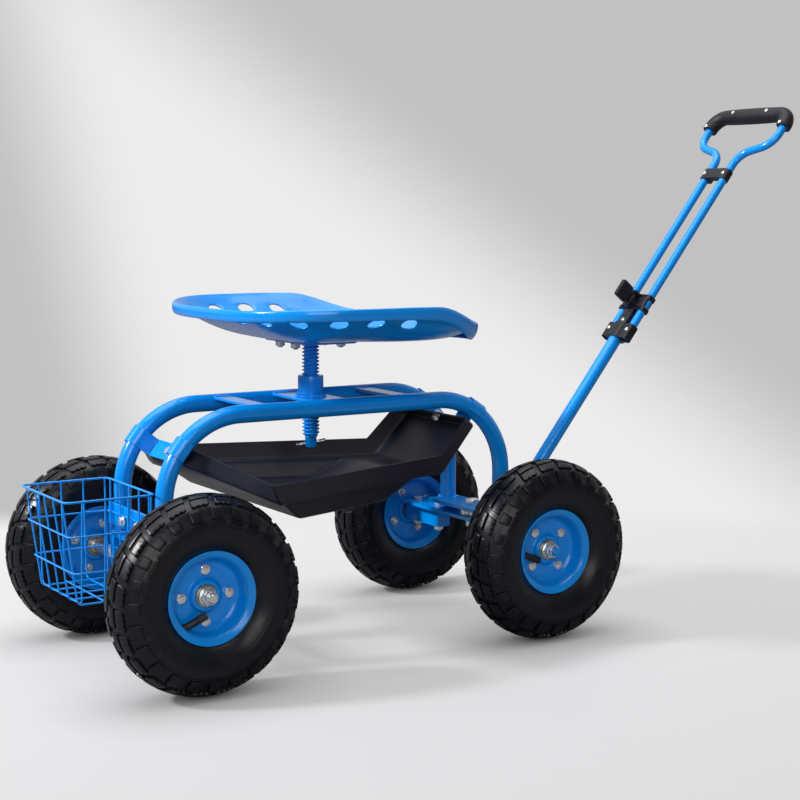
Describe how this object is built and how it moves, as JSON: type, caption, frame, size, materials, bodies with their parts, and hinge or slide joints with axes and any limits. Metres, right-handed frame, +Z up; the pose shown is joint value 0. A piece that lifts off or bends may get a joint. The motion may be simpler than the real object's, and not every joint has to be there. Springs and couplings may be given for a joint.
{
  "type": "rolling garden seat",
  "caption": "Low tube-frame garden cart seat on air-filled wheels, with steered front axle, telescopic pull handle, screw-height bucket seat, tool tray and wire basket.",
  "frame": {"origin": "on the ground under the middle of the whole seat's box", "axes": "+X forwards to the pull handle, +Y to the sitter's left, +Z up"},
  "size_m": [1.237, 0.437, 0.7668],
  "materials": {
    "blue_painted_steel": "gloss powder coat",
    "zinc_plated_steel": "bright zinc plate",
    "bearing_steel": "ground steel",
    "tyre_rubber": "matt tread",
    "valve_rubber": "smooth",
    "black_plastic": "satin moulding",
    "grip_plastic": "textured moulding"
  },
  "bodies": {
    "frame": {"left_side_rail": "blue_painted_steel", "right_side_rail": "blue_painted_steel", "cross_bars": "blue_painted_steel", "seat_support_plate": "blue_painted_steel", "seat_sleeve": "blue_painted_steel", "rear_tray_strap": "blue_painted_steel", "front_tray_strap": "blue_painted_steel", "frame_bolts": "zinc_plated_steel", "tool_tray": "black_plastic", "rear_axle_bracket": "blue_painted_steel", "rear_axle_rod": "zinc_plated_steel", "rear_axle_nuts": "zinc_plated_steel", "basket_mount_bar": "blue_painted_steel", "basket": "blue_painted_steel", "front_foot_plate": "blue_painted_steel", "kingpin_bolt": "zinc_plated_steel"},
    "front_axle": {"front_axle_beam": "blue_painted_steel", "front_stub_axles": "blue_painted_steel", "front_axle_nuts": "zinc_plated_steel", "beam_bolts": "zinc_plated_steel", "handle_yoke": "blue_painted_steel", "yoke_pin": "zinc_plated_steel"},
    "rear_right_wheel": {"rear_right_tyre": "tyre_rubber", "rear_right_outer_rim": "blue_painted_steel", "rear_right_inner_rim": "blue_painted_steel", "rear_right_rim_bolts": "zinc_plated_steel", "rear_right_bearings": "bearing_steel", "rear_right_valve_stem": "valve_rubber"},
    "rear_left_wheel": {"rear_left_tyre": "tyre_rubber", "rear_left_outer_rim": "blue_painted_steel", "rear_left_inner_rim": "blue_painted_steel", "rear_left_rim_bolts": "zinc_plated_steel", "rear_left_bearings": "bearing_steel", "rear_left_valve_stem": "valve_rubber"},
    "front_right_wheel": {"front_right_tyre": "tyre_rubber", "front_right_outer_rim": "blue_painted_steel", "front_right_inner_rim": "blue_painted_steel", "front_right_rim_bolts": "zinc_plated_steel", "front_right_bearings": "bearing_steel", "front_right_valve_stem": "valve_rubber"},
    "front_left_wheel": {"front_left_tyre": "tyre_rubber", "front_left_outer_rim": "blue_painted_steel", "front_left_inner_rim": "blue_painted_steel", "front_left_rim_bolts": "zinc_plated_steel", "front_left_bearings": "bearing_steel", "front_left_valve_stem": "valve_rubber"},
    "handle_lower": {"handle_tube": "blue_painted_steel", "guide_block": "black_plastic", "lock_block": "black_plastic", "block_screws": "zinc_plated_steel"},
    "lock_lever": {"lock_lever": "black_plastic"},
    "handle_upper": {"handle_loop": "blue_painted_steel", "handle_grip": "grip_plastic", "rod_bridge": "black_plastic", "handle_screws": "zinc_plated_steel"},
    "seat_post": {"threaded_post": "blue_painted_steel", "retaining_clip": "zinc_plated_steel"},
    "seat": {"seat_plate": "blue_painted_steel", "seat_pan": "blue_painted_steel", "seat_bolts": "zinc_plated_steel"}
  },
  "joints": [
    {"name": "steer", "type": "hinge", "parent": "frame", "child": "front_axle", "pos_m": [0.0535, 0, 0.148], "axis": [0, 0, 1], "range_deg": [-30, 30]},
    {"name": "handle_tilt", "type": "hinge", "parent": "front_axle", "child": "handle_lower", "pos_m": [0.1185, 0, 0.142], "axis": [0, 1, 0], "range_deg": [-42, 58]},
    {"name": "handle_slide", "type": "slide", "parent": "handle_lower", "child": "handle_upper", "axis": [0.6244, 0, 0.7811], "range_m": [-0.2345, 0]},
    {"name": "lever_swing", "type": "hinge", "parent": "handle_lower", "child": "lock_lever", "pos_m": [0.35734, 0, 0.46318], "axis": [0.6244, 0, 0.7811], "range_deg": [0, 85]},
    {"name": "seat_height", "type": "slide", "parent": "frame", "child": "seat_post", "axis": [0, 0, 1], "range_m": [-0.0442, 0.0552]},
    {"name": "seat_turn", "type": "hinge", "parent": "seat_post", "child": "seat", "pos_m": [-0.2235, 0, 0.42], "axis": [0, 0, 1], "range_deg": [-3168, 3960]},
    {"name": "rear_right_spin", "type": "hinge", "parent": "frame", "child": "rear_right_wheel", "pos_m": [-0.4765, -0.179, 0.1275], "axis": [0, 1, 0], "continuous": true},
    {"name": "rear_left_spin", "type": "hinge", "parent": "frame", "child": "rear_left_wheel", "pos_m": [-0.4765, 0.179, 0.1275], "axis": [0, 1, 0], "continuous": true},
    {"name": "front_right_spin", "type": "hinge", "parent": "front_axle", "child": "front_right_wheel", "pos_m": [0.0535, -0.179, 0.1275], "axis": [0, 1, 0], "continuous": true},
    {"name": "front_left_spin", "type": "hinge", "parent": "front_axle", "child": "front_left_wheel", "pos_m": [0.0535, 0.179, 0.1275], "axis": [0, 1, 0], "continuous": true}
  ],
  "couplings": [
    {"joint": "seat_height", "follows": "seat_turn", "m_per_rad": 0.00079577}
  ]
}
